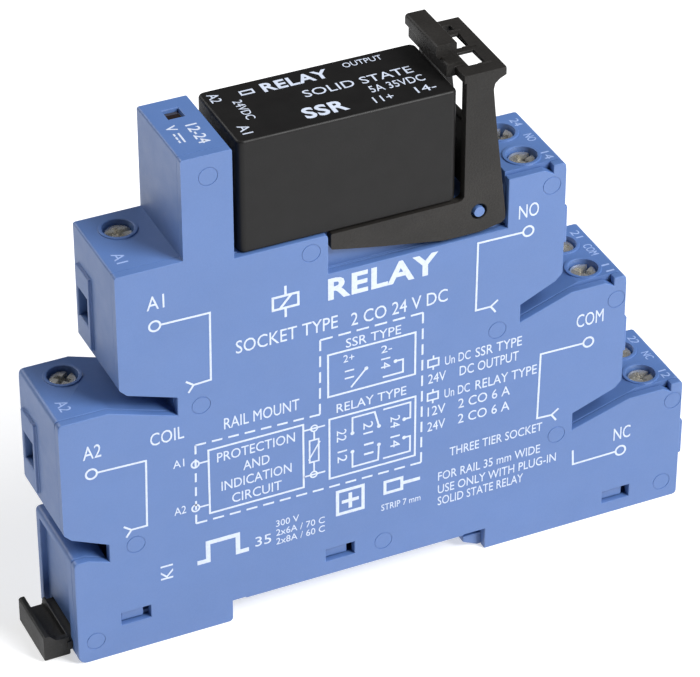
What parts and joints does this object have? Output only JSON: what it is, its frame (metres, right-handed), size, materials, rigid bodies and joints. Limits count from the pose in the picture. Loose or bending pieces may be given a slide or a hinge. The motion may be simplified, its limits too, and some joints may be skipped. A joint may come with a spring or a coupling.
{
  "type": "plug in relay",
  "caption": "Slim rail-mounted relay socket with a plugged-in solid-state relay, stepped screw terminals, a retaining lever and a sliding rail clip.",
  "frame": {"origin": "middle of the face in the rail recess that rests on the rail", "axes": "+X across the rail towards the six contact terminals, +Y along the rail, +Z away from the rail"},
  "size_m": [0.0912, 0.0136, 0.0755],
  "materials": {
    "housing_blue": "satin moulded",
    "relay_black": "satin moulded",
    "lever_black": "fine texture",
    "clip_black": "fine texture",
    "screw_steel": "zinc plated",
    "cage_steel": "zinc plated",
    "contact_brass": "stamped",
    "pin_tin": "tinned",
    "board_green": "solder resist",
    "led_red": "clear tinted",
    "lens_dark": "clear tinted",
    "chip_black": "moulded",
    "resistor_beige": "lacquered",
    "varistor_blue": "dipped coating"
  },
  "bodies": {
    "socket": {"housing_body": "housing_blue", "side_cover": "housing_blue", "contact_strip_12": "contact_brass", "contact_strip_22": "contact_brass", "contact_strip_11": "contact_brass", "contact_strip_21": "contact_brass", "contact_strip_14": "contact_brass", "contact_strip_24": "contact_brass", "contact_strip_A2": "contact_brass", "contact_strip_A1": "contact_brass", "coil_contact_A1": "contact_brass", "coil_contact_A2": "contact_brass", "circuit_board": "board_green", "indicator_led": "led_red", "indicator_lens": "lens_dark", "board_resistor": "resistor_beige", "board_diode": "chip_black", "board_varistor": "varistor_blue"},
    "lever": {"retaining_lever": "lever_black"},
    "relay": {"relay_case": "relay_black", "relay_base": "relay_black", "relay_pin_A1": "pin_tin", "relay_pin_A2": "pin_tin", "relay_pin_11": "pin_tin", "relay_pin_14": "pin_tin", "relay_board": "board_green", "relay_optocoupler": "chip_black", "relay_output_transistor": "chip_black"},
    "clip": {"rail_clip": "clip_black"},
    "screw_12": {"terminal_screw_12": "screw_steel"},
    "cage_12": {"clamp_cage_12": "cage_steel"},
    "screw_22": {"terminal_screw_22": "screw_steel"},
    "cage_22": {"clamp_cage_22": "cage_steel"},
    "screw_11": {"terminal_screw_11": "screw_steel"},
    "cage_11": {"clamp_cage_11": "cage_steel"},
    "screw_21": {"terminal_screw_21": "screw_steel"},
    "cage_21": {"clamp_cage_21": "cage_steel"},
    "screw_14": {"terminal_screw_14": "screw_steel"},
    "cage_14": {"clamp_cage_14": "cage_steel"},
    "screw_24": {"terminal_screw_24": "screw_steel"},
    "cage_24": {"clamp_cage_24": "cage_steel"},
    "screw_A2": {"terminal_screw_A2": "screw_steel"},
    "cage_A2": {"clamp_cage_A2": "cage_steel"},
    "screw_A1": {"terminal_screw_A1": "screw_steel"},
    "cage_A1": {"clamp_cage_A1": "cage_steel"}
  },
  "joints": [
    {"name": "lever_hinge", "type": "hinge", "parent": "socket", "child": "lever", "pos_m": [0.0161, 0, 0.0502], "axis": [0, 1, 0], "range_deg": [0, 12]},
    {"name": "relay_lift", "type": "slide", "parent": "socket", "child": "relay", "axis": [0, 0, 1], "range_m": [0, 0.0043]},
    {"name": "clip_slide", "type": "slide", "parent": "socket", "child": "clip", "axis": [-1, 0, 0], "range_m": [0, 0.0025], "stiffness_N_per_m": 1200},
    {"name": "screw_turn_12", "type": "hinge", "parent": "socket", "child": "screw_12", "pos_m": [0.0425, -0.00305, 0], "axis": [0, 0, 1], "range_deg": [-1080, 0]},
    {"name": "cage_lift_12", "type": "slide", "parent": "socket", "child": "cage_12", "axis": [0, 0, 1], "range_m": [0, 0.0015]},
    {"name": "screw_turn_22", "type": "hinge", "parent": "socket", "child": "screw_22", "pos_m": [0.0425, 0.00305, 0], "axis": [0, 0, 1], "range_deg": [-1080, 0]},
    {"name": "cage_lift_22", "type": "slide", "parent": "socket", "child": "cage_22", "axis": [0, 0, 1], "range_m": [0, 0.0015]},
    {"name": "screw_turn_11", "type": "hinge", "parent": "socket", "child": "screw_11", "pos_m": [0.0331, -0.00305, 0], "axis": [0, 0, 1], "range_deg": [-1080, 0]},
    {"name": "cage_lift_11", "type": "slide", "parent": "socket", "child": "cage_11", "axis": [0, 0, 1], "range_m": [0, 0.0015]},
    {"name": "screw_turn_21", "type": "hinge", "parent": "socket", "child": "screw_21", "pos_m": [0.0331, 0.00305, 0], "axis": [0, 0, 1], "range_deg": [-1080, 0]},
    {"name": "cage_lift_21", "type": "slide", "parent": "socket", "child": "cage_21", "axis": [0, 0, 1], "range_m": [0, 0.0015]},
    {"name": "screw_turn_14", "type": "hinge", "parent": "socket", "child": "screw_14", "pos_m": [0.0237, -0.00305, 0], "axis": [0, 0, 1], "range_deg": [-1080, 0]},
    {"name": "cage_lift_14", "type": "slide", "parent": "socket", "child": "cage_14", "axis": [0, 0, 1], "range_m": [0, 0.0015]},
    {"name": "screw_turn_24", "type": "hinge", "parent": "socket", "child": "screw_24", "pos_m": [0.0237, 0.00305, 0], "axis": [0, 0, 1], "range_deg": [-1080, 0]},
    {"name": "cage_lift_24", "type": "slide", "parent": "socket", "child": "cage_24", "axis": [0, 0, 1], "range_m": [0, 0.0015]},
    {"name": "screw_turn_A2", "type": "hinge", "parent": "socket", "child": "screw_A2", "pos_m": [-0.036, 0.00305, 0], "axis": [0, 0, 1], "range_deg": [-1080, 0]},
    {"name": "cage_lift_A2", "type": "slide", "parent": "socket", "child": "cage_A2", "axis": [0, 0, 1], "range_m": [0, 0.0015]},
    {"name": "screw_turn_A1", "type": "hinge", "parent": "socket", "child": "screw_A1", "pos_m": [-0.0279, 0.00305, 0], "axis": [0, 0, 1], "range_deg": [-1080, 0]},
    {"name": "cage_lift_A1", "type": "slide", "parent": "socket", "child": "cage_A1", "axis": [0, 0, 1], "range_m": [0, 0.0015]}
  ],
  "couplings": [
    {"joint": "lever_hinge", "follows": "relay_lift", "rad_per_m": 48.7},
    {"joint": "screw_turn_12", "follows": "cage_lift_12", "rad_per_m": -12566},
    {"joint": "screw_turn_22", "follows": "cage_lift_22", "rad_per_m": -12566},
    {"joint": "screw_turn_11", "follows": "cage_lift_11", "rad_per_m": -12566},
    {"joint": "screw_turn_21", "follows": "cage_lift_21", "rad_per_m": -12566},
    {"joint": "screw_turn_14", "follows": "cage_lift_14", "rad_per_m": -12566},
    {"joint": "screw_turn_24", "follows": "cage_lift_24", "rad_per_m": -12566},
    {"joint": "screw_turn_A2", "follows": "cage_lift_A2", "rad_per_m": -12566},
    {"joint": "screw_turn_A1", "follows": "cage_lift_A1", "rad_per_m": -12566}
  ]
}
